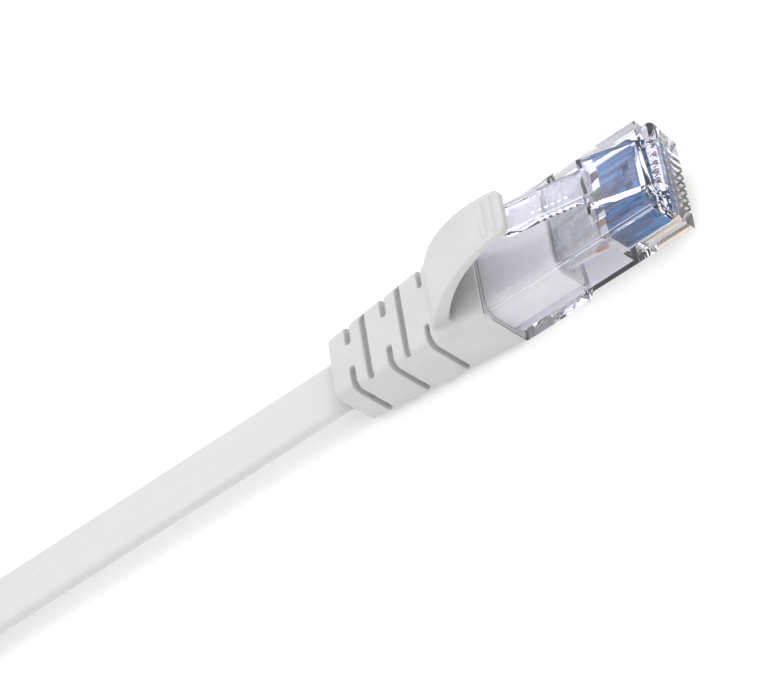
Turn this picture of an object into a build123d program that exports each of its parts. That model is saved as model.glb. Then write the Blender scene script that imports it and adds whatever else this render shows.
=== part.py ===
"""Flat ethernet patch cable with an 8P8C plug on each end, in millimetres.

Both ends are the same assembly: a clear plug body with its latch, load bar, contacts and
conductors, and a soft boot whose arched hood covers the latch.  The near end lies contacts
down with its nose towards +X.  The flat cord runs straight back from it, turns on its edge
and is wound into a long hank, and the far end lies on its side inside the hank's loop.
The origin is the bottom centre of the near plug and boot.
"""

import os
from math import pi, radians, tan

from build123d import *

# Plug, the standard 8-position modular form with a long body
plug_width = 11.68
plug_length = 24.0
plug_top = 7.5
nose_bottom = 1.0
step_start = 14.4
step_end = 15.6
pin_count = 8
pin_pitch = 1.02

# Boot and hood
boot_length = 21.2
boot_front_width = 12.0
boot_front_height = 7.6
boot_rear_width = 8.3
boot_rear_height = 6.7
boot_rear_lift = 0.3
groove_width = 0.75
groove_depth = 1.0

# Flat cord
cord_width = 6.8
cord_thickness = 1.4
cord_height = 3.5
wire_diameter = 0.75

# Latch and hood hinges, as distances back from the nose and heights
latch_axis_back = 1.15
latch_axis_height = 5.9
latch_barrel_radius = 1.15
latch_width = 6.05
hood_axis_back = 29.4
hood_axis_height = 6.9
hood_barrel_radius = 1.0
barrel_play = 0.08

# Hank: two turns of cord on edge, in a long loop beside the straight cord
hank_base = 0.5
hank_pitch = 2.45
hank_run = 112.2
hank_first_radius = 24.675
hank_start = -105.0
tie_thickness = 0.5
tie_width = 9.0

assembly_length = plug_length + boot_length
nose_x = assembly_length / 2
rear_x = -assembly_length / 2
plug_rear_x = nose_x - plug_length
hank_height = hank_base + cord_width / 2
pins = [(index - (pin_count - 1) / 2) * pin_pitch for index in range(pin_count)]

os.makedirs("parts", exist_ok=True)


def back(distance):
    """X of a place that lies this far behind the nose."""
    return nose_x - distance


def side_plane(y=0.0):
    """XZ plane at this Y: sketch X is world X and sketch Y is world Z."""
    return Plane(origin=(0, y, 0), x_dir=(1, 0, 0), z_dir=(0, -1, 0))


def cross_plane(x):
    """YZ plane at this X: sketch X is world Y and sketch Y is world Z."""
    return Plane(origin=(x, 0, 0), x_dir=(0, 1, 0), z_dir=(1, 0, 0))


# --- Plug body -------------------------------------------------------------------------

contact_length = 5.6
contact_front = 1.0
contact_thickness = 0.35
slot_width = 0.45
odd_wire_height = 4.0
even_wire_height = 5.1
bar_front = 1.9
bar_rear = 7.7
bar_width = 9.4
bar_bottom = 3.2
bar_top = 6.25
clamp_front = 8.5
clamp_rear = 14.2
sleeve_front = 14.7
sleeve_width = 9.7
sleeve_bottom = 1.5
sleeve_top = 6.5
mouth_depth = 3.0
mouth_room = 0.6
mouth_shift = 0.1
recess_floor = 6.8
recess_rear = 9.0
window_back = 19.2
window_size = 5.6
jacket_clamp_front = 17.0
jacket_clamp_rear = 21.7
jacket_clamp_width = 5.2
fit_gap = 0.08

with BuildPart() as plug_body:
    with BuildSketch(side_plane()):
        with BuildLine():
            Polyline(
                (back(0.7), nose_bottom),
                (back(0.7), 2.4),
                (back(0.3), 5.4),
                (back(0.7), 6.15),
                (back(1.4), 6.15),
                (back(1.4), plug_top),
                (plug_rear_x, plug_top),
                (plug_rear_x, 0),
                (back(step_end), 0),
                (back(step_start), nose_bottom),
                close=True,
            )
        make_face()
    extrude(amount=plug_width / 2, both=True)
    long_edges = plug_body.edges().filter_by(Axis.X)
    chamfer(long_edges, length=0.25)

    # Rear bore for the sleeve, and the narrower bore for the conductors and load bar
    with BuildSketch(cross_plane(plug_rear_x)):
        with Locations((0, (sleeve_bottom + sleeve_top) / 2)):
            Rectangle(sleeve_width + 2 * fit_gap, sleeve_top - sleeve_bottom + 2 * fit_gap)
    extrude(amount=plug_length - clamp_front, mode=Mode.SUBTRACT)
    with BuildSketch(cross_plane(back(clamp_front))):
        with Locations((0, (bar_bottom + bar_top) / 2)):
            Rectangle(bar_width + 2 * fit_gap, bar_top - bar_bottom + 2 * fit_gap)
    extrude(amount=clamp_front - bar_front, mode=Mode.SUBTRACT)

    # One slot for each contact, open at the bottom and at the nose
    for y in pins:
        with BuildSketch(Plane.XY):
            with Locations((back(contact_front + contact_length / 2), y)):
                Rectangle(contact_length + 0.2, slot_width)
            with Locations((back(contact_front / 2), y)):
                Rectangle(contact_front + 0.4, slot_width)
        extrude(amount=bar_bottom, mode=Mode.SUBTRACT)

    # Nose socket for the latch barrel, and the recess that the pressed latch sinks into
    with BuildSketch(side_plane()):
        with Locations((back(latch_axis_back), latch_axis_height)):
            Circle(latch_barrel_radius + barrel_play)
        with Locations((back(latch_axis_back) + mouth_shift, latch_axis_height + mouth_depth / 2)):
            Rectangle(2 * (latch_barrel_radius + barrel_play) + mouth_room, mouth_depth)
        with Locations((back((recess_rear + 1.0) / 2), recess_floor + 0.7)):
            Rectangle(recess_rear - 1.0, 1.4)
    extrude(amount=latch_width / 2 + 0.2, both=True, mode=Mode.SUBTRACT)

    # Window in the floor for the jacket clamp
    with BuildSketch(Plane.XY):
        with Locations((back(window_back), 0)):
            RectangleRounded(window_size, window_size, 1.2)
    extrude(amount=sleeve_bottom, mode=Mode.SUBTRACT)
plug_body.part.label = "plug_body"

# --- Latch -----------------------------------------------------------------------------

shoulder_back = 7.6
finger_back = 17.3
finger_width = 3.4
latch_thickness = 1.25
shoulder_height = plug_top + 1.25
finger_angle = 12
finger_slope = tan(radians(finger_angle))
finger_end_height = shoulder_height + (finger_back - shoulder_back) * finger_slope
finger_rib_front = 9.4
finger_rib_pitch = 0.75
finger_rib_count = 6
finger_rib_size = (0.35, 0.4)
finger_rib_length = 2.2

with BuildPart() as latch:
    # Barrel at the nose
    with BuildSketch(side_plane()):
        with Locations((back(latch_axis_back), latch_axis_height)):
            Circle(latch_barrel_radius)
    extrude(amount=latch_width / 2, both=True)
    # Wide part, from the barrel up to the two shoulders
    with BuildSketch(side_plane()):
        with BuildLine():
            Polyline(
                (back(latch_axis_back) + 0.3, latch_axis_height + 0.4),
                (back(0.75), 6.85),
                (back(1.5), 7.75),
                (back(shoulder_back), shoulder_height + latch_thickness),
                (back(shoulder_back), shoulder_height),
                (back(2.35), 7.2),
                (back(2.2), 6.5),
                close=True,
            )
        make_face()
    extrude(amount=latch_width / 2, both=True)
    # Finger, sloping up towards the hood
    with BuildSketch(side_plane()):
        with BuildLine():
            Polyline(
                (back(shoulder_back) + 1.0, shoulder_height + 0.2),
                (back(shoulder_back) + 1.0, shoulder_height + latch_thickness - 0.3),
                (back(shoulder_back), shoulder_height + latch_thickness),
                (back(finger_back), finger_end_height + latch_thickness),
                (back(finger_back), finger_end_height),
                (back(shoulder_back), shoulder_height),
                close=True,
            )
        make_face()
    extrude(amount=finger_width / 2, both=True)
    # Low ribs across the finger
    for index in range(finger_rib_count):
        distance = finger_rib_front + finger_rib_pitch * index
        finger_top = shoulder_height + latch_thickness + (distance - shoulder_back) * finger_slope
        with BuildSketch(side_plane()):
            with Locations(Location((back(distance), finger_top, 0), (0, 0, -finger_angle))):
                Rectangle(*finger_rib_size)
        extrude(amount=finger_rib_length / 2, both=True)
    # Rounded corners at the finger's free end
    finger_corners = latch.edges().filter_by(Axis.Z).sort_by(Axis.X)[:2]
    fillet(finger_corners, radius=0.6)
latch.part.label = "latch"

# --- Load bar, contacts and conductors ---------------------------------------------------

wire_heights = [odd_wire_height if index % 2 == 0 else even_wire_height for index in range(pin_count)]
wire_front = 3.3

with BuildPart() as load_bar:
    with BuildSketch(side_plane()):
        with BuildLine():
            Polyline(
                (back(bar_rear), bar_bottom),
                (back(bar_front), bar_bottom),
                (back(bar_front), 4.2),
                (back(bar_front + 1.0), 4.5),
                (back(bar_front + 1.0), bar_top - 0.3),
                (back(bar_front + 1.3), bar_top),
                (back(bar_rear - 0.3), bar_top),
                (back(bar_rear), bar_top - 0.3),
                close=True,
            )
        make_face()
    extrude(amount=bar_width / 2, both=True)
    # Channels for the conductors in two staggered rows
    with BuildSketch(cross_plane(back(bar_rear))):
        for y, z in zip(pins, wire_heights):
            with Locations((y, z)):
                Circle(wire_diameter / 2 + 0.05)
    extrude(amount=bar_rear - wire_front + 0.05, mode=Mode.SUBTRACT)
    # Slots from below for the contact blades
    for y, z in zip(pins, wire_heights):
        with BuildSketch(Plane.XY.offset(bar_bottom - 0.1)):
            with Locations((back(contact_front + contact_length / 2), y)):
                Rectangle(contact_length + 0.2, slot_width)
        extrude(amount=z - bar_bottom, mode=Mode.SUBTRACT)
    # Two shallow windows in the top
    with BuildSketch(Plane.XY.offset(bar_top)):
        with Locations((back(4.2), 1.2), (back(4.2), -0.9)):
            Rectangle(0.8, 1.2)
    extrude(amount=-0.4, mode=Mode.SUBTRACT)
load_bar.part.label = "load_bar"

blade_bottom = nose_bottom + 0.45
prong_width = 1.0

with BuildPart() as contacts:
    for y, z in zip(pins, wire_heights):
        prong_top = z - wire_diameter / 2 - 0.08
        with BuildSketch(side_plane(y)):
            with BuildLine():
                Polyline(
                    (back(contact_front + contact_length), blade_bottom + 0.6),
                    (back(contact_front + contact_length), prong_top),
                    (back(contact_front + contact_length - prong_width), prong_top),
                    (back(contact_front + contact_length - prong_width), 2.9),
                    (back(contact_front + 2.4 + prong_width), 2.9),
                    (back(contact_front + 2.4 + prong_width), prong_top),
                    (back(contact_front + 2.4), prong_top),
                    (back(contact_front + 2.4), 2.9),
                    (back(contact_front), 2.5),
                    (back(contact_front), blade_bottom + 0.9),
                    (back(contact_front + 0.9), blade_bottom),
                    (back(contact_front + contact_length - 0.6), blade_bottom),
                    close=True,
                )
            make_face()
        extrude(amount=contact_thickness / 2, both=True)
contacts.part.label = "contacts"

jacket_wire_pitch = 0.8
wire_pairs = {
    "orange_pair": (0, 1),
    "green_pair": (2, 5),
    "blue_pair": (3, 4),
    "brown_pair": (6, 7),
}


def make_wire_pair(indices):
    """Two conductors that fan out of the jacket and run straight through the load bar."""
    with BuildPart() as pair:
        for index in indices:
            jacket_y = pins[index] * jacket_wire_pitch / pin_pitch
            with BuildLine():
                FilletPolyline(
                    (back(sleeve_front), jacket_y, cord_height),
                    (back(sleeve_front - 1.2), jacket_y, cord_height),
                    (back(bar_rear + 0.9), pins[index], wire_heights[index]),
                    (back(wire_front), pins[index], wire_heights[index]),
                    radius=1.5,
                )
            with BuildSketch(cross_plane(back(sleeve_front))):
                with Locations((jacket_y, cord_height)):
                    Circle(wire_diameter / 2)
            sweep()
    return pair


# --- Clamps and sleeve -------------------------------------------------------------------

with BuildPart() as conductor_clamp:
    with BuildSketch(side_plane()):
        with BuildLine():
            Polyline(
                (back(clamp_front + 0.1), 5.85),
                (back(clamp_front + 0.1), sleeve_top),
                (back(clamp_rear), sleeve_top),
                (back(clamp_rear), 5.2),
                (back(clamp_rear - 1.6), 5.2),
                close=True,
            )
        make_face()
    extrude(amount=sleeve_width / 2 - 0.2, both=True)
    fillet(conductor_clamp.edges().filter_by(Axis.Z), radius=0.5)
conductor_clamp.part.label = "conductor_clamp"

with BuildPart() as jacket_clamp:
    with BuildSketch(side_plane()):
        with BuildLine():
            Polyline(
                (back(jacket_clamp_rear), 0.3),
                (back(jacket_clamp_rear), 1.4),
                (back(window_back + 0.4), 2.0),
                (back(jacket_clamp_front), 1.4),
                (back(jacket_clamp_front), 0.3),
                close=True,
            )
        make_face()
    extrude(amount=jacket_clamp_width / 2, both=True)
    fillet(jacket_clamp.edges().filter_by(Axis.Z), radius=1.1)
jacket_clamp.part.label = "jacket_clamp"

with BuildPart() as jacket_sleeve:
    with BuildSketch(cross_plane(plug_rear_x)) as sleeve_outline:
        with Locations((0, (sleeve_bottom + sleeve_top) / 2)):
            Rectangle(sleeve_width, sleeve_top - sleeve_bottom)
        chamfer(sleeve_outline.vertices().group_by(Axis.Z)[-1], length=0.9)
    extrude(amount=plug_length - sleeve_front)
    with BuildSketch(cross_plane(plug_rear_x)):
        with Locations((0, cord_height)):
            SlotOverall(cord_width + 0.1, cord_thickness + 0.1)
    extrude(amount=plug_length - sleeve_front, mode=Mode.SUBTRACT)
    # Seat of the jacket clamp
    with BuildSketch(Plane.XY):
        with Locations((back((jacket_clamp_front + jacket_clamp_rear) / 2), 0)):
            Rectangle(jacket_clamp_rear - jacket_clamp_front + 0.3, jacket_clamp_width + 0.2)
    extrude(amount=2.1, mode=Mode.SUBTRACT)
    front_edges = jacket_sleeve.faces().sort_by(Axis.X)[-1].edges()
    fillet(front_edges.filter_by(Axis.Y).sort_by(Axis.Z)[-1], radius=0.4)
jacket_sleeve.part.label = "jacket_sleeve"

with BuildPart() as jacket_end:
    with BuildSketch(cross_plane(rear_x)):
        with Locations((0, cord_height)):
            SlotOverall(cord_width, cord_thickness)
    extrude(amount=back(sleeve_front) - rear_x)
jacket_end.part.label = "jacket_end"

# --- Boot --------------------------------------------------------------------------------

side_grooves = [3.0, 8.3, 13.8]
cross_grooves = [5.3, 10.6]
groove_return = 2.9
hood_socket_front = 27.8
hood_socket_rear = 31.1
hood_socket_middle = (hood_socket_front + hood_socket_rear) / 2
hood_socket_half = 4.2


def boot_width(along):
    """Boot width at this distance forward of its rear end."""
    return boot_rear_width + (boot_front_width - boot_rear_width) * along / boot_length


def boot_height(along):
    """Boot height at this distance forward of its rear end."""
    return boot_rear_height + (boot_front_height - boot_rear_height) * along / boot_length


def boot_middle(along):
    """Height of the boot section's centre at this distance forward of its rear end."""
    return boot_rear_lift * (1 - along / boot_length) + boot_height(along) / 2


with BuildPart() as boot:
    for along in (0, boot_length):
        with BuildSketch(cross_plane(rear_x + along)):
            with Locations((0, boot_middle(along))):
                RectangleRounded(boot_width(along), boot_height(along), 1.1)
    loft()
    fillet(boot.faces().sort_by(Axis.X)[0].edges(), radius=0.6)
    fillet(boot.faces().sort_by(Axis.X)[-1].edges(), radius=0.2)
    # Grooves round both sides, each returning a little way onto the top and the bottom
    for along in side_grooves:
        with BuildSketch(cross_plane(rear_x + along - groove_width / 2)):
            with Locations((0, boot_middle(along))):
                Rectangle(20, 20)
                core_width = boot_width(along) - 2 * groove_depth
                core_height = boot_height(along) - 2 * groove_depth
                RectangleRounded(core_width, core_height, 1.0, mode=Mode.SUBTRACT)
                Rectangle(boot_width(along) - 2 * groove_return, 20, mode=Mode.SUBTRACT)
        extrude(amount=groove_width, mode=Mode.SUBTRACT)
    # Grooves across the top and the bottom between them
    for along in cross_grooves:
        with BuildSketch(cross_plane(rear_x + along - groove_width / 2)):
            with Locations((0, boot_middle(along))):
                Rectangle(boot_width(along) - 0.7, 20)
                Rectangle(20, boot_height(along) - 2 * groove_depth, mode=Mode.SUBTRACT)
        extrude(amount=groove_width, mode=Mode.SUBTRACT)
    # Bore for the flat cord
    with BuildSketch(cross_plane(rear_x)):
        with Locations((0, cord_height)):
            SlotOverall(cord_width + 0.1, cord_thickness + 0.1)
    extrude(amount=boot_length, mode=Mode.SUBTRACT)
    # Socket for the hood's barrel
    with BuildSketch(side_plane()):
        with Locations((back(hood_axis_back), hood_axis_height)):
            Circle(hood_barrel_radius + barrel_play)
        with Locations((back(hood_socket_middle), hood_axis_height + mouth_depth / 2)):
            Rectangle(hood_socket_rear - hood_socket_front, mouth_depth)
    extrude(amount=hood_socket_half, both=True, mode=Mode.SUBTRACT)
boot.part.label = "boot"

# --- Hood --------------------------------------------------------------------------------

hood_tip_back = 15.55
hood_tip_top = 13.35
hood_tip_thickness = 0.85
hood_root_rear = 30.9
hood_root_front = 28.7
hood_root_half = 4.0
hood_tip_half = 2.75
hood_taper_back = 27.5
hood_rib_backs = [16.9, 18.05]
hood_rib_size = (0.55, 0.7)
hood_rib_length = 4.5

with BuildPart() as hood:
    # Arched plate seen from the side
    with BuildSketch(side_plane()):
        with BuildLine():
            outer_tip = (back(hood_tip_back), hood_tip_top)
            inner_tip = (back(hood_tip_back), hood_tip_top - hood_tip_thickness)
            outer = ThreePointArc((back(hood_root_rear), 7.3), (back(25.0), 11.75), outer_tip)
            inner = ThreePointArc((back(hood_root_front), 7.1), (back(24.4), 10.75), inner_tip)
            Line(outer @ 0, inner @ 0)
            Line(outer @ 1, inner @ 1)
        make_face()
    extrude(amount=hood_root_half, both=True)
    # Raised ribs across the tip
    for distance in hood_rib_backs:
        with BuildSketch(side_plane()):
            with Locations((back(distance), hood_tip_top - 0.05)):
                Rectangle(*hood_rib_size)
        extrude(amount=hood_rib_length / 2, both=True)
    # Plan outline, narrowing to a rounded tip
    with BuildSketch(Plane.XY.offset(5)) as hood_plan:
        with BuildLine():
            Polyline(
                (back(hood_root_rear + 0.6), -hood_root_half),
                (back(hood_taper_back), -hood_root_half),
                (back(hood_tip_back), -hood_tip_half),
                (back(hood_tip_back), hood_tip_half),
                (back(hood_taper_back), hood_root_half),
                (back(hood_root_rear + 0.6), hood_root_half),
                close=True,
            )
        make_face()
        fillet(hood_plan.vertices().group_by(Axis.X)[-1], radius=0.9)
    extrude(amount=10, mode=Mode.INTERSECT)
    # Barrel at the root
    with BuildSketch(side_plane()):
        with Locations((back(hood_axis_back), hood_axis_height)):
            Circle(hood_barrel_radius)
    extrude(amount=hood_root_half, both=True)
hood.part.label = "hood"

# --- Cord ----------------------------------------------------------------------------------

twist_start = -82.0
hank_end = hank_start - hank_run
fold_radii = [hank_first_radius - fold * hank_pitch / 2 for fold in range(4)]
run_ys = [0.0]
for fold, radius in enumerate(fold_radii):
    run_ys.append(run_ys[-1] + 2 * radius * (1 if fold % 2 == 0 else -1))

with BuildPart() as near_cord:
    with BuildSketch(cross_plane(twist_start)):
        with Locations((0, cord_height)):
            SlotOverall(cord_width, cord_thickness)
    extrude(amount=rear_x - twist_start)
near_cord.part.label = "near_cord"

# The cord turns a quarter round on its own axis, in short steps of a ruled loft
twist_steps = 6

with BuildPart() as cord_twist:
    for step in range(twist_steps + 1):
        share = step / twist_steps
        middle = cord_height + (hank_height - cord_height) * share
        with BuildSketch(cross_plane(twist_start + (hank_start - twist_start) * share)):
            with Locations(Location((0, middle, 0), (0, 0, 90 * share))):
                Rectangle(cord_width, cord_thickness)
    loft(ruled=True)
cord_twist.part.label = "cord_twist"


# Sides of the whole hank seen from above: outside of the turns, and the open inside
low_outer = run_ys[0] - cord_thickness / 2
low_inner = run_ys[2] + cord_thickness / 2
high_inner = run_ys[3] - cord_thickness / 2
high_outer = run_ys[1] + cord_thickness / 2


def long_loop(low, high, near_low):
    """Closed outline with a round end at each end; the near end is round from near_low up."""
    Line((hank_start, low), (hank_end, low))
    ThreePointArc((hank_end, low), (hank_end - (high - low) / 2, (high + low) / 2), (hank_end, high))
    Line((hank_end, high), (hank_start, high))
    near_middle = (hank_start + (high - near_low) / 2, (high + near_low) / 2)
    ThreePointArc((hank_start, high), near_middle, (hank_start, near_low))
    Line((hank_start, near_low), (hank_start, low))


with BuildPart() as cord_hank:
    with BuildSketch(Plane.XY.offset(hank_base)):
        with BuildLine():
            long_loop(low_outer, high_outer, run_ys[2] - cord_thickness / 2)
        make_face()
    extrude(amount=cord_width)
    with BuildSketch(Plane.XY.offset(hank_base)):
        with BuildLine():
            long_loop(low_inner, high_inner, run_ys[4] + cord_thickness / 2)
        make_face()
    extrude(amount=cord_width, mode=Mode.SUBTRACT)
cord_hank.part.label = "cord_hank"

# Tail from the hank's inner end to the far boot, on edge all the way
far_height = boot_front_width / 2
far_rear = (-190.0, 30.0)
tail_straight = 17.0
far_straight = 25.0
tail_points = [
    (hank_start, run_ys[4], hank_height),
    (hank_start - tail_straight, run_ys[4], hank_height),
    (far_rear[0] + far_straight, far_rear[1], far_height),
    (far_rear[0], far_rear[1], far_height),
]


def corner_radii(points):
    """Radius at each corner: 0.45 of the shorter run over the tangent of half the turn."""
    radii = []
    for before, corner, after in zip(points, points[1:], points[2:]):
        incoming = Vector(*corner) - Vector(*before)
        outgoing = Vector(*after) - Vector(*corner)
        shorter = min(incoming.length, outgoing.length)
        radii.append(0.45 * shorter / tan(radians(incoming.get_angle(outgoing)) / 2))
    return radii


tail_radii = corner_radii(tail_points)
with BuildPart() as far_cord:
    with BuildLine() as tail_line:
        FilletPolyline(*tail_points, radius=tail_radii)
    with BuildSketch(Plane(origin=tail_points[0], x_dir=(0, 1, 0), z_dir=(-1, 0, 0))):
        Rectangle(cord_thickness, cord_width)
    sweep()
far_cord.part.label = "far_cord"

# --- Ties ------------------------------------------------------------------------------------

tie_x = -168.0
tie_spans = {"hank_tie_right": (low_outer, low_inner), "hank_tie_left": (high_inner, high_outer)}


def make_tie(low, high):
    """Closed strap round the strands that lie between two Y values."""
    with BuildPart() as tie:
        with BuildSketch(cross_plane(tie_x - tie_width / 2)):
            with Locations(((low + high) / 2, hank_height)):
                RectangleRounded(high - low + 2 * tie_thickness, cord_width + 2 * tie_thickness, 0.45)
                Rectangle(high - low + 0.04, cord_width + 0.04, mode=Mode.SUBTRACT)
        extrude(amount=tie_width)
    return tie


# --- Place and write -----------------------------------------------------------------------

# The far end is turned end for end and laid on its side, latch towards +Y
far_origin = (far_rear[0] + rear_x, far_rear[1] - cord_height, far_height)
far_place = Plane(origin=far_origin, x_dir=(-1, 0, 0), z_dir=(0, 1, 0)).location

end_pieces = [
    plug_body.part,
    latch.part,
    load_bar.part,
    contacts.part,
    conductor_clamp.part,
    jacket_clamp.part,
    jacket_sleeve.part,
    jacket_end.part,
    boot.part,
    hood.part,
]
for pair_name, indices in wire_pairs.items():
    pair = make_wire_pair(indices)
    pair.part.label = pair_name
    end_pieces.append(pair.part)

for piece in end_pieces:
    for end, place in (("near", Location()), ("far", far_place)):
        placed = place * piece
        placed.label = f"{end}_{piece.label}"
        export_step(placed, f"parts/{placed.label}.step")

for cord_piece in (near_cord.part, cord_twist.part, cord_hank.part, far_cord.part):
    export_step(cord_piece, f"parts/{cord_piece.label}.step")

for tie_name, (low, high) in tie_spans.items():
    tie = make_tie(low, high)
    tie.part.label = tie_name
    export_step(tie.part, f"parts/{tie_name}.step")

# --- Cord figures ----------------------------------------------------------------------------

tail_length = sum(edge.length for edge in tail_line.edges())
section_area = cord_thickness * cord_width
lead_length = rear_x - hank_start
turns_length = len(fold_radii) * hank_run + sum(fold_radii) * pi
cord_length = lead_length + turns_length + tail_length
print("tail corner radii:", [round(radius, 1) for radius in tail_radii])
print("hank fold radii:", [round(radius, 1) for radius in fold_radii])
print("run Y:", [round(y, 2) for y in run_ys])
print(f"tail volume {far_cord.part.volume:.1f}, section times length {section_area * tail_length:.1f}")
print(f"cord {cord_length:.1f} mm boot to boot, {cord_length + 2 * assembly_length:.1f} mm overall")
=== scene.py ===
"""Looks of the flat ethernet patch cable: mouldings, flat cord and hank, materials and light."""

import math

import bmesh
import bpy
from mathutils import Matrix, Vector


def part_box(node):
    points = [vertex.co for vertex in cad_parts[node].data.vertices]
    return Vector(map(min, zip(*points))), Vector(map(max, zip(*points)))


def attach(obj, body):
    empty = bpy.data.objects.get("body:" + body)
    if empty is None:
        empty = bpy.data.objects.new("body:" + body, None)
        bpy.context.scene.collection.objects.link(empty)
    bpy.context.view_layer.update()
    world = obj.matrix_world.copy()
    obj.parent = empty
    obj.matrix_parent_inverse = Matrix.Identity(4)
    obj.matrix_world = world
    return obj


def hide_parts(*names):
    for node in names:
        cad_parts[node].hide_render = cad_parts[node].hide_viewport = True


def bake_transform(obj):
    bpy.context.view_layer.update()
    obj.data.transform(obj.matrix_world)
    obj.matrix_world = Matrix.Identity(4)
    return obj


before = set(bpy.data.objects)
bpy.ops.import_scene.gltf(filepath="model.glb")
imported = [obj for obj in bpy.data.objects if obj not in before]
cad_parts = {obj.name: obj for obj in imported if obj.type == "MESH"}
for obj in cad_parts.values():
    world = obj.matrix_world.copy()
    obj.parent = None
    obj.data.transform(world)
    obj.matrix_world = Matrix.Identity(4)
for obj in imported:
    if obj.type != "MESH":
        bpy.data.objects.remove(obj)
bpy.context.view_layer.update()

ENDS = ("near", "far")

# --- Material building -------------------------------------------------------------------


class Shader:
    """A node tree with one Principled shader, and short ways to add the nodes that feed it."""

    def __init__(self, name, **sockets):
        self.material = bpy.data.materials.new(name)
        self.material.use_nodes = True
        self.tree = self.material.node_tree
        self.shader = self.tree.nodes["Principled BSDF"]
        for socket, value in sockets.items():
            self.shader.inputs[socket.replace("_", " ")].default_value = value
        self.coordinates = self.tree.nodes.new("ShaderNodeTexCoord")

    def node(self, kind, **values):
        """New node of this kind, with its attributes set by keyword."""
        made = self.tree.nodes.new("ShaderNode" + kind)
        for key, value in values.items():
            setattr(made, key, value)
        return made

    def link(self, source, target):
        self.tree.links.new(source, target)

    def stretched(self, scale, space="Object"):
        """Coordinates scaled differently along each axis."""
        mapping = self.node("Mapping")
        mapping.inputs["Scale"].default_value = scale
        self.link(self.coordinates.outputs[space], mapping.inputs["Vector"])
        return mapping.outputs["Vector"]

    def noise(self, vector, scale, detail=3.0, roughness=0.55):
        made = self.node("TexNoise")
        made.inputs["Scale"].default_value = scale
        made.inputs["Detail"].default_value = detail
        made.inputs["Roughness"].default_value = roughness
        self.link(vector, made.inputs["Vector"])
        return made.outputs["Fac"]

    def ramp(self, value, *stops):
        """Smooth colour ramp over (position, colour) stops."""
        made = self.node("ValToRGB")
        ramp = made.color_ramp
        ramp.interpolation = "B_SPLINE"
        while len(ramp.elements) < len(stops):
            ramp.elements.new(0.5)
        for element, (position, colour) in zip(ramp.elements, stops):
            element.position = position
            element.color = (*colour, 1.0)
        self.link(value, made.inputs["Fac"])
        return made.outputs["Color"]

    def spread(self, value, low, high):
        """Value from 0..1 moved to low..high."""
        made = self.node("MapRange")
        made.inputs["To Min"].default_value = low
        made.inputs["To Max"].default_value = high
        self.link(value, made.inputs["Value"])
        return made.outputs["Result"]

    def mix(self, factor, first, second, mode="MIX"):
        made = self.node("Mix", data_type="RGBA", blend_type=mode)
        for value, socket in ((factor, 0), (first, 6), (second, 7)):
            if isinstance(value, bpy.types.NodeSocket):
                self.link(value, made.inputs[socket])
            elif socket == 0:
                made.inputs[0].default_value = value
            else:
                made.inputs[socket].default_value = (*value, 1.0)
        return made.outputs[2]

    def math(self, operation, first, second=0.5):
        made = self.node("Math", operation=operation)
        for index, value in enumerate((first, second)):
            if isinstance(value, bpy.types.NodeSocket):
                self.link(value, made.inputs[index])
            else:
                made.inputs[index].default_value = value
        return made.outputs[0]

    def feed(self, socket, value):
        self.link(value, self.shader.inputs[socket])

    def let_light_through(self, share):
        """Let this share of the light on its way to what lies inside or behind pass straight."""
        path = self.node("LightPath")
        clear = self.node("BsdfTransparent")
        clear.inputs["Color"].default_value = (share, share, share, 1.0)
        surface = self.shader.outputs[0]
        for ray in ("Is Shadow Ray", "Is Diffuse Ray"):
            mixed = self.node("MixShader")
            self.link(path.outputs[ray], mixed.inputs[0])
            self.link(surface, mixed.inputs[1])
            self.link(clear.outputs[0], mixed.inputs[2])
            surface = mixed.outputs[0]
        self.link(surface, self.tree.nodes["Material Output"].inputs["Surface"])

    def bump(self, height, distance, strength=1.0):
        made = self.node("Bump")
        made.inputs["Distance"].default_value = distance
        made.inputs["Strength"].default_value = strength
        self.link(height, made.inputs["Height"])
        self.feed("Normal", made.outputs["Normal"])


def clear_plastic():
    """Polished polycarbonate with a faint lilac cast, flow lines, handling haze and a faint painted
    lilac glow.
    """
    made = Shader(
        "clear plastic",
        Transmission_Weight=1.0,
        IOR=1.33,
        # Painted glow: a weak lilac emission, though the plastic gives off no light of its own
        Emission_Color=(0.88, 0.86, 1.0, 1.0),
        Emission_Strength=0.01,
    )
    flow = made.noise(made.stretched((60, 260, 260)), 1.0)
    made.feed("Base Color", made.ramp(flow, (0.3, (0.86, 0.85, 0.97)), (0.7, (0.98, 0.98, 1.0))))
    made.feed("Roughness", made.spread(made.noise(made.stretched((1, 1, 1)), 900.0), 0.0, 0.06))
    made.bump(flow, 0.00004, 0.4)
    made.let_light_through(0.93)
    return made.material


def cloudy_plastic():
    """Cloudy polycarbonate, as where the clamp was pressed down."""
    made = Shader("cloudy plastic", Transmission_Weight=0.7, IOR=1.5)
    cloud = made.noise(made.stretched((1, 1, 1)), 1400.0, 4.0)
    made.feed("Base Color", made.ramp(cloud, (0.3, (0.50, 0.52, 0.55)), (0.7, (0.80, 0.82, 0.84))))
    made.feed("Roughness", made.spread(cloud, 0.12, 0.35))
    made.bump(cloud, 0.00008, 0.6)
    made.let_light_through(0.5)
    return made.material


def blue_plastic():
    """Blue plastic of the load bar, opaque, with dark and pale streaks along it."""
    made = Shader("blue plastic", IOR=1.5)
    streaks = made.noise(made.stretched((110, 1900, 500)), 1.0, 2.5)
    colour = made.ramp(
        streaks,
        (0.34, (0.002, 0.010, 0.03)),
        (0.44, (0.002, 0.045, 0.15)),
        (0.55, (0.003, 0.12, 0.34)),
        (0.67, (0.008, 0.23, 0.52)),
        (0.82, (0.08, 0.36, 0.66)),
    )
    made.feed("Base Color", colour)
    made.feed("Roughness", made.spread(streaks, 0.15, 0.35))
    made.bump(streaks, 0.00008, 0.5)
    return made.material


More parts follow.
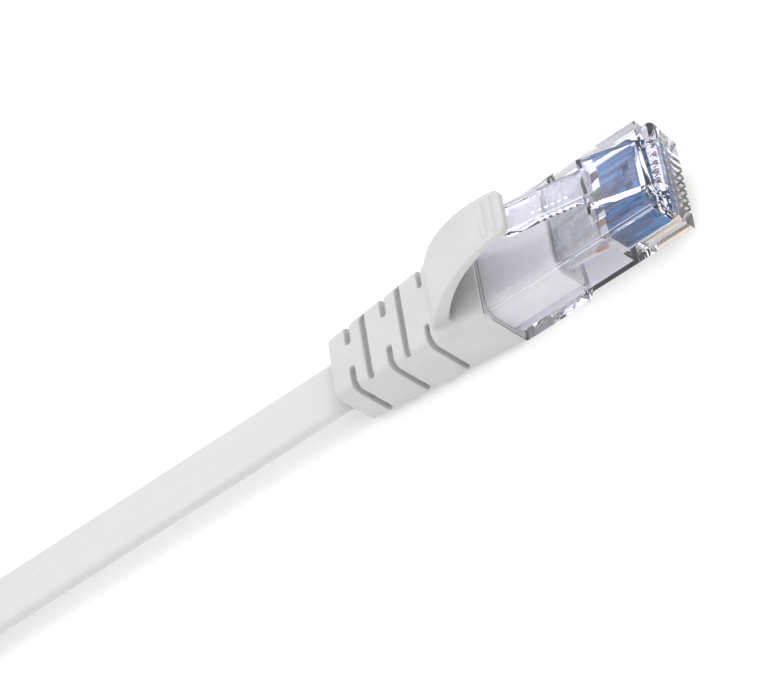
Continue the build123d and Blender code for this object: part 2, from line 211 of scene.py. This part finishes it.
def contact_gold():
    """Gold plating with a fine grain drawn along the blades."""
    made = Shader("contact gold", Metallic=1.0)
    grain = made.noise(made.stretched((400, 4000, 4000)), 1.0)
    made.feed("Base Color", made.ramp(grain, (0.3, (0.85, 0.72, 0.50)), (0.7, (0.98, 0.90, 0.75))))
    made.feed("Roughness", made.spread(grain, 0.18, 0.38))
    made.bump(grain, 0.00002, 0.4)
    return made.material


def moulding(name, low, high, roughness, bump_scale=2600.0, bump_distance=0.00003):
    """Soft satin moulding: a fine spark-eroded grain over slow colour variation."""
    made = Shader(name, IOR=1.46, Subsurface_Weight=0.12, Subsurface_Scale=0.0012, Sheen_Weight=0.08)
    made.shader.inputs["Subsurface Radius"].default_value = (1.0, 0.95, 0.9)
    plain = made.stretched((1, 1, 1))
    slow = made.noise(plain, 180.0, 2.0)
    fine = made.noise(plain, bump_scale, 4.0, 0.65)
    tone = made.ramp(slow, (0.3, low), (0.7, high))
    speck = made.ramp(fine, (0.35, (0.93, 0.93, 0.93)), (0.6, (1.0, 1.0, 1.0)))
    made.feed("Base Color", made.mix(1.0, tone, speck, "MULTIPLY"))
    made.feed("Roughness", made.spread(fine, roughness - 0.07, roughness + 0.07))
    made.bump(fine, bump_distance, 0.6)
    return made.material


def cord_jacket():
    """Extruded jacket: faint lines along its length, laid out on the tube's own UV map."""
    made = Shader("cord jacket", IOR=1.46, Subsurface_Weight=0.1, Subsurface_Scale=0.001)
    made.shader.inputs["Subsurface Radius"].default_value = (1.0, 0.95, 0.9)
    lines = made.noise(made.stretched((3, 90, 1), "UV"), 1.0, 3.0)
    grain = made.noise(made.stretched((1, 1, 1)), 3200.0, 3.0)
    tone = made.ramp(lines, (0.3, (0.56, 0.56, 0.56)), (0.7, (0.61, 0.61, 0.61)))
    speck = made.ramp(grain, (0.35, (0.96, 0.96, 0.96)), (0.6, (1.0, 1.0, 1.0)))
    made.feed("Base Color", made.mix(1.0, tone, speck, "MULTIPLY"))
    made.feed("Roughness", made.spread(grain, 0.38, 0.52))
    made.bump(made.math("ADD", lines, grain), 0.00002, 0.5)
    return made.material


# Spacing of the conductors at the jacket, as a share of their spacing in the load bar
FAN_NARROWING = 0.784


def wire(name, colour, across, middle, fan, split, white_side):
    """Two conductors, one white with thin stripes and one plain, told apart by their place across.

    The conductors draw together towards the jacket, so the line between them does too.
    """
    made = Shader(name, IOR=1.46, Coat_Weight=0.3)
    stripes = made.noise(made.stretched((90, 1500, 1500)), 1.0, 1.0)
    pale = tuple(0.45 + 0.5 * channel for channel in colour)
    striped = made.ramp(stripes, (0.38, colour), (0.46, (0.80, 0.80, 0.78)))
    plain = made.ramp(stripes, (0.3, tuple(0.8 * channel for channel in colour)), (0.8, pale))
    place = made.node("SeparateXYZ")
    made.link(made.coordinates.outputs["Object"], place.inputs[0])
    narrowing = made.node("MapRange")
    narrowing.inputs["From Min"].default_value = fan[0]
    narrowing.inputs["From Max"].default_value = fan[1]
    narrowing.inputs["To Min"].default_value = FAN_NARROWING
    made.link(place.outputs["X"], narrowing.inputs["Value"])
    border = made.math("MULTIPLY", narrowing.outputs["Result"], split)
    offset = made.math("SUBTRACT", place.outputs[across], middle)
    side = made.math("LESS_THAN" if white_side == "low" else "GREATER_THAN", offset, border)
    made.feed("Base Color", made.mix(side, plain, striped))
    made.feed("Roughness", made.spread(stripes, 0.3, 0.45))
    made.bump(stripes, 0.00002, 0.4)
    return made.material


def strap():
    """Woven strap: two crossed weaves with a fuzz of loose fibre."""
    made = Shader("woven strap", Sheen_Weight=0.5, Roughness=0.85)
    weaves = []
    for direction in ("X", "Y"):
        wave = made.node("TexWave", bands_direction=direction)
        wave.inputs["Scale"].default_value = 26.0
        wave.inputs["Distortion"].default_value = 0.6
        wave.inputs["Detail Scale"].default_value = 3.0
        made.link(made.stretched((1, 6, 1), "UV"), wave.inputs["Vector"])
        weaves.append(wave.outputs["Fac"])
    weave = made.math("MULTIPLY", *weaves)
    fuzz = made.noise(made.stretched((1, 1, 1)), 5200.0, 4.0)
    height = made.math("ADD", weave, fuzz)
    tone = made.math("MULTIPLY", height, 0.5)
    made.feed("Base Color", made.ramp(tone, (0.15, (0.5, 0.5, 0.5)), (0.7, (0.8, 0.8, 0.79))))
    made.bump(height, 0.00012, 0.8)
    return made.material


CLEAR = clear_plastic()
CLOUDY = cloudy_plastic()
BLUE = blue_plastic()
GOLD = contact_gold()
BOOT = moulding("soft moulding", (0.52, 0.52, 0.52), (0.57, 0.57, 0.57), 0.5)
SLEEVE = moulding("sleeve moulding", (0.70, 0.70, 0.70), (0.78, 0.78, 0.78), 0.5, 1400.0)
JACKET = cord_jacket()
STRAP = strap()
# Pair: insulation colour, the line between its conductors, and the side of it that is white
PAIRS = {
    "orange": ((0.50, 0.22, 0.08), -0.00306, "low"),
    "green": ((0.02, 0.2, 0.07), 0.0, "low"),
    "blue": ((0.01, 0.09, 0.36), 0.0, "high"),
    "brown": ((0.12, 0.05, 0.02), 0.00306, "low"),
}

# --- Helpers for pieces ------------------------------------------------------------------------


def add_object(name, mesh, material, smooth=True):
    made = bpy.data.objects.new(name, mesh)
    bpy.context.scene.collection.objects.link(made)
    mesh.materials.clear()
    mesh.materials.append(material)
    if smooth:
        mesh.polygons.foreach_set("use_smooth", [True] * len(mesh.polygons))
    return made


def applied(obj):
    """Mesh of obj with its modifiers applied."""
    graph = bpy.context.evaluated_depsgraph_get()
    return bpy.data.meshes.new_from_object(obj.evaluated_get(graph), depsgraph=graph)


def softened(nodes, name, voxel, rounds, material, web):
    """CAD nodes and a web that fills the gap between them, remeshed and smoothed as one moulding.

    The web is given by its lowest and highest corners.
    """
    bm = bmesh.new()
    for node in nodes:
        bm.from_mesh(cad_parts[node].data)
    low, high = web
    placing = Matrix.Translation((low + high) / 2) @ Matrix.Diagonal((*(high - low), 1.0))
    bmesh.ops.create_cube(bm, size=1.0, matrix=placing)
    joined = bpy.data.meshes.new(name)
    bm.to_mesh(joined)
    bm.free()
    rough = add_object(name + "_source", joined, material)
    remesh = rough.modifiers.new("remesh", "REMESH")
    remesh.mode = "VOXEL"
    remesh.voxel_size = voxel
    smooth = rough.modifiers.new("smooth", "SMOOTH")
    smooth.factor = 0.5
    smooth.iterations = rounds
    mesh = applied(rough)
    bpy.data.objects.remove(rough)
    mesh.name = name
    return add_object(name, mesh, material)


def eased(node, name, width, material):
    """Copy of a CAD node with its sharp edges eased by a narrow round."""
    bm = bmesh.new()
    bm.from_mesh(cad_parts[node].data)
    bmesh.ops.remove_doubles(bm, verts=bm.verts, dist=0.000002)
    bmesh.ops.dissolve_limit(bm, angle_limit=math.radians(1.5), verts=bm.verts, edges=bm.edges)
    clean = bpy.data.meshes.new(name)
    bm.to_mesh(clean)
    bm.free()
    rough = add_object(name + "_source", clean, material)
    bevel = rough.modifiers.new("bevel", "BEVEL")
    bevel.width = width
    bevel.segments = 3
    bevel.limit_method = "ANGLE"
    bevel.angle_limit = math.radians(30)
    bevel.harden_normals = True
    mesh = applied(rough)
    bpy.data.objects.remove(rough)
    mesh.name = name
    return add_object(name, mesh, material)


# --- Plug and its insides ------------------------------------------------------------------------

# CAD nodes that keep their own mesh and only get a material
KEPT = {
    "contacts": GOLD,
    "jacket_end": JACKET,
}
# Axis that runs across each plug, its middle, and where the conductors' fan starts and ends along X
ACROSS = {
    "near": ("Y", 0.0, (0.0091, 0.0140)),
    "far": ("Z", 0.006, (-0.2217, -0.2266)),
}
# Node: edge width in metres, material, record slot
EASED = {
    "plug_body": (0.00016, CLEAR, "clear_plastic"),
    "latch": (0.0002, CLEAR, "clear_plastic"),
    "jacket_clamp": (0.00015, CLEAR, "clear_plastic"),
    "load_bar": (0.00012, BLUE, "blue_plastic"),
    "conductor_clamp": (0.00015, CLOUDY, "cloudy_plastic"),
    "jacket_sleeve": (0.0002, SLEEVE, "sleeve"),
}
for end in ENDS:
    axis, middle, fan = ACROSS[end]
    looks = dict(KEPT)
    for pair, (colour, split, white_side) in PAIRS.items():
        looks[f"{pair}_pair"] = wire(f"{end} {pair} wires", colour, axis, middle, fan, split, white_side)
    for node, material in looks.items():
        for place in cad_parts[f"{end}_{node}"].material_slots:
            place.material = material
    for node, (width, material, slot) in EASED.items():
        piece = eased(f"{end}_{node}", f"{end}_{node}_moulding", width, material)
        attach(piece, f"{end}_latch" if node == "latch" else "cable")
        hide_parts(f"{end}_{node}")

# --- Boots with their hoods ----------------------------------------------------------------------

# The web of soft plastic between each boot and its hood's root, up to just under the boot's top
WEB = {
    "near": (Vector((-0.0086, -0.00425, 0.0058)), Vector((-0.0051, 0.00425, 0.0074))),
    "far": (Vector((-0.2075, 0.0323, 0.00175)), Vector((-0.2040, 0.0339, 0.01025))),
}
BOOT_VOXEL = 0.00014
SMOOTH_ROUNDS = 3

for end in ENDS:
    nodes = (f"{end}_boot", f"{end}_hood")
    boot = softened(nodes, f"{end}_boot_moulding", BOOT_VOXEL, SMOOTH_ROUNDS, BOOT, WEB[end])
    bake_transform(boot)
    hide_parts(f"{end}_boot", f"{end}_hood")

# --- Cord ------------------------------------------------------------------------------------------

CORD_WIDTH = 0.0068
CORD_THICKNESS = 0.0014
# How much thicker the cord is at the middle of each face
FACE_CROWN = 0.00004
BOOT_REAR = -0.0226
LEAD_MIDDLE = -0.05
# Points nearer than this to Y = 0, ahead of the hank, belong to the straight lead
LEAD_HALF_BAND = 0.0005
CORD_HEIGHT = 0.0035
TWIST_START = -0.082
HANK_START = -0.105
HANK_END = -0.2172
HANK_HEIGHT = 0.0039
FIRST_RADIUS = 0.024675
PITCH = 0.00245
FOLDS = 4
FOLD_STEPS = 7
PATH_RESOLUTION = 14
TAIL = [(-0.122, 0.0049, 0.0039), (-0.165, 0.03, 0.006), (-0.19, 0.03, 0.006)]

route = [Vector((x, 0, CORD_HEIGHT)) for x in (BOOT_REAR, LEAD_MIDDLE, TWIST_START)]
route.append(Vector((HANK_START, 0, HANK_HEIGHT)))
run_y = 0.0
step = math.pi / FOLD_STEPS
for fold in range(FOLDS):
    radius = FIRST_RADIUS - fold * PITCH / 2
    at_end = fold % 2 == 0
    fold_x = HANK_END if at_end else HANK_START
    side = -1 if at_end else 1
    centre = run_y - side * radius
    reach = radius / math.cos(step / 2)
    route.append(Vector((fold_x, run_y, HANK_HEIGHT)))
    for index in range(FOLD_STEPS):
        angle = (index + 0.5) * step
        x = fold_x + side * reach * math.sin(angle)
        y = centre + side * reach * math.cos(angle)
        route.append(Vector((x, y, HANK_HEIGHT)))
    run_y -= 2 * side * radius
    route.append(Vector((fold_x, run_y, HANK_HEIGHT)))
    if fold < FOLDS - 1:
        for share in (0.25, 0.5, 0.75):
            x = fold_x + (HANK_START + HANK_END - 2 * fold_x) * share
            route.append(Vector((x, run_y, HANK_HEIGHT)))
route += [Vector(point) for point in TAIL]


def nurbs_points(points, resolution):
    """Points along the NURBS spline that has these control points."""
    curve = bpy.data.curves.new("cord_route", "CURVE")
    curve.dimensions = "3D"
    spline = curve.splines.new("NURBS")
    spline.points.add(len(points) - 1)
    for place, point in zip(spline.points, points):
        place.co = (*point, 1.0)
    spline.order_u = 3
    spline.use_endpoint_u = True
    spline.resolution_u = resolution
    holder = bpy.data.objects.new("cord_route", curve)
    bpy.context.scene.collection.objects.link(holder)
    bpy.context.view_layer.update()
    line = bpy.data.meshes.new_from_object(holder)
    found = [vertex.co.copy() for vertex in line.vertices]
    bpy.data.objects.remove(holder)
    bpy.data.meshes.remove(line)
    return found


def flat_section(width, thickness, arc_steps=7, flat_steps=10):
    """Closed outline of a flat cord with round edges and faintly crowned faces."""
    half = width / 2 - thickness / 2
    outline = []
    for side in (1, -1):
        for index in range(arc_steps + 1):
            angle = math.pi * index / arc_steps - math.pi / 2
            across = side * (half + thickness / 2 * math.cos(angle))
            outline.append((across, side * thickness / 2 * math.sin(angle)))
        for index in range(1, flat_steps):
            across = side * half * (1 - 2 * index / flat_steps)
            crown = FACE_CROWN * (1 - (across / half) ** 2)
            outline.append((across, side * (thickness / 2 + crown)))
    return outline


def smooth_share(value):
    """Value held to 0..1, and eased at both ends."""
    value = min(max(value, 0.0), 1.0)
    return value * value * (3 - 2 * value)


def add_band(bm, uv, first, second, along_uv):
    """Faces between two rings of points, laid out on the UV map along and around."""
    count = len(first)
    for place in range(count):
        after = (place + 1) % count
        face = bm.faces.new((first[place], first[after], second[after], second[place]))
        face.smooth = True
        for loop, (ring, around) in zip(face.loops, ((0, 0), (0, 1), (1, 1), (1, 0))):
            loop[uv].uv = (along_uv[ring], (place + around) / count)


def cord_mesh(path):
    """Flat tube along the path. It lies flat at the boot and turns on its edge before the hank."""
    section = flat_section(CORD_WIDTH, CORD_THICKNESS)
    bm = bmesh.new()
    uv = bm.loops.layers.uv.new("UVMap")
    rings = []
    lengths = []
    travelled = 0.0
    for index, point in enumerate(path):
        before = path[max(index - 1, 0)]
        after = path[min(index + 1, len(path) - 1)]
        along = (after - before).normalized()
        sideways = along.cross(Vector((0, 0, 1))).normalized()
        upward = sideways.cross(along)
        straight_lead = abs(point.y) < LEAD_HALF_BAND and point.x > HANK_START
        turn = (TWIST_START - point.x) / (TWIST_START - HANK_START) if straight_lead else 1.0
        angle = math.pi / 2 * smooth_share(turn)
        wide = sideways * math.cos(angle) + upward * math.sin(angle)
        thin = upward * math.cos(angle) - sideways * math.sin(angle)
        ring = [point + wide * across + thin * height for across, height in section]
        rings.append([bm.verts.new(place) for place in ring])
        travelled += (point - before).length
        lengths.append(travelled)
    for index in range(len(rings) - 1):
        along_uv = (lengths[index] * 10, lengths[index + 1] * 10)
        add_band(bm, uv, rings[index], rings[index + 1], along_uv)
    for ring in (rings[0], rings[-1]):
        bm.faces.new(ring)
    bmesh.ops.recalc_face_normals(bm, faces=bm.faces)
    mesh = bpy.data.meshes.new("cord_tube")
    bm.to_mesh(mesh)
    bm.free()
    return mesh


path = nurbs_points(route, PATH_RESOLUTION)
cord = add_object("cord_tube", cord_mesh(path), JACKET)
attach(cord, "cable")
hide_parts("near_cord", "cord_twist", "cord_hank", "far_cord")

# --- Ties --------------------------------------------------------------------------------------------

STRAP_LAYER = 0.0005
STRAP_CORNER = 0.0006
# Share of its thickness that the strap loses towards its edges
STRAP_EDGE_LOSS = 0.35
CORNER_STEPS = 7
ACROSS_STEPS = 10


def tie_mesh(low_corner, high_corner):
    """Closed strap round the strands, thinner towards its two edges."""
    width = high_corner.x - low_corner.x
    middle = (low_corner + high_corner) / 2
    half_y = (high_corner.y - low_corner.y) / 2 - STRAP_LAYER / 2
    half_z = (high_corner.z - low_corner.z) / 2 - STRAP_LAYER / 2
    bm = bmesh.new()
    uv = bm.loops.layers.uv.new("UVMap")
    line = []
    for side_y, side_z, start in ((1, 1, 0.0), (-1, 1, 0.5), (-1, -1, 1.0), (1, -1, 1.5)):
        for index in range(CORNER_STEPS):
            angle = math.pi * (start + 0.5 * index / (CORNER_STEPS - 1))
            y = side_y * (half_y - STRAP_CORNER) + STRAP_CORNER * math.cos(angle)
            z = side_z * (half_z - STRAP_CORNER) + STRAP_CORNER * math.sin(angle)
            line.append(Vector((0, y, z)))
    rings = []
    for index, point in enumerate(line):
        before = line[index - 1]
        after = line[(index + 1) % len(line)]
        outward = (after - before).normalized().cross(Vector((-1, 0, 0))).normalized()
        ring = []
        for side in (1, -1):
            for index_across in range(ACROSS_STEPS + 1):
                share = index_across / ACROSS_STEPS - 0.5
                across = Vector((side * share * width, 0, 0))
                edge = abs(share) * 2
                thick = STRAP_LAYER / 2 * (1 - STRAP_EDGE_LOSS * edge ** 6)
                ring.append(bm.verts.new(middle + point + outward * thick * side + across))
        rings.append(ring)
    for index in range(len(rings)):
        following = (index + 1) % len(rings)
        add_band(bm, uv, rings[index], rings[following], (index / 8, (index + 1) / 8))
    bmesh.ops.recalc_face_normals(bm, faces=bm.faces)
    mesh = bpy.data.meshes.new("strap")
    bm.to_mesh(mesh)
    bm.free()
    return mesh


for side in ("right", "left"):
    node = f"hank_tie_{side}"
    tie = add_object(f"strap_{side}", tie_mesh(*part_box(node)), STRAP)
    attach(tie, "cable")
    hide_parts(node)

# --- Floor, lights and camera ------------------------------------------------------------------------

FLOOR_HALF = 6.0
FLOOR_DROP = 0.0002

floor_mesh = bpy.data.meshes.new("floor")
floor_corners = [(x * FLOOR_HALF, y * FLOOR_HALF, 0) for x, y in ((-1, -1), (1, -1), (1, 1), (-1, 1))]
floor_mesh.from_pydata(floor_corners, [], [(0, 1, 2, 3)])
floor_look = Shader(
    "pale floor",
    Roughness=0.9,
    Emission_Color=(1.0, 1.0, 1.0, 1.0),
    Emission_Strength=0.2,
)
floor_tone = floor_look.noise(floor_look.stretched((1, 1, 1)), 2.0)
floor_colour = floor_look.ramp(floor_tone, (0.3, (0.86, 0.86, 0.86)), (0.7, (0.88, 0.88, 0.88)))
floor_look.feed("Base Color", floor_colour)
floor = add_object("floor", floor_mesh, floor_look.material, smooth=False)
floor.location.z = -FLOOR_DROP

world = bpy.data.worlds.new("studio")
world.use_nodes = True
sky = world.node_tree
sky_place = sky.nodes.new("ShaderNodeTexCoord")
sky_split = sky.nodes.new("ShaderNodeSeparateXYZ")
sky_ramp = sky.nodes.new("ShaderNodeValToRGB")
for position, tone in ((0.0, 0.56), (0.25, 0.76), (1.0, 1.10)):
    if position in (0.0, 1.0):
        stop = sky_ramp.color_ramp.elements[int(position)]
    else:
        stop = sky_ramp.color_ramp.elements.new(position)
    stop.color = (tone, tone, tone, 1.0)
sky.links.new(sky_place.outputs["Generated"], sky_split.inputs[0])
sky.links.new(sky_split.outputs["Z"], sky_ramp.inputs["Fac"])
sky.links.new(sky_ramp.outputs["Color"], sky.nodes["Background"].inputs["Color"])
bpy.context.scene.world = world
bpy.context.scene.view_settings.view_transform = "Standard"


def add_light(name, place, size, power):
    """Soft square light here, aimed at the origin."""
    light = bpy.data.lights.new(name, "AREA")
    light.size = size
    light.energy = power
    holder = bpy.data.objects.new(name, light)
    holder.location = place
    holder.rotation_euler = (-Vector(place)).to_track_quat("-Z", "Y").to_euler()
    bpy.context.scene.collection.objects.link(holder)


add_light("key", (-0.25, 0.35, 0.75), 1.0, 3.2)
add_light("fill", (0.6, -0.2, 0.5), 0.5, 0.4)

AZIMUTH = math.radians(37.80)
ELEVATION = math.radians(40.71)
ROLL = math.radians(59.68)
DISTANCE = 0.4239
AIM = Vector((-0.01352, -0.002, 0.00779))

away = Vector((
    math.sin(AZIMUTH) * math.cos(ELEVATION),
    -math.cos(AZIMUTH) * math.cos(ELEVATION),
    math.sin(ELEVATION),
))
level_right = (-away).cross(Vector((0, 0, 1))).normalized()
level_up = level_right.cross(-away)
right = level_right * math.cos(ROLL) - level_up * math.sin(ROLL)
up = level_right * math.sin(ROLL) + level_up * math.cos(ROLL)
lens = bpy.data.cameras.new("camera")
lens.sensor_width = 36.0
lens.lens = 184.6
lens.clip_start = 0.01
lens.clip_end = 30.0
camera = bpy.data.objects.new("camera", lens)
placing = Matrix((right, up, away)).transposed().to_4x4()
placing.translation = AIM + away * DISTANCE
camera.matrix_world = placing
bpy.context.scene.collection.objects.link(camera)
bpy.context.scene.camera = camera
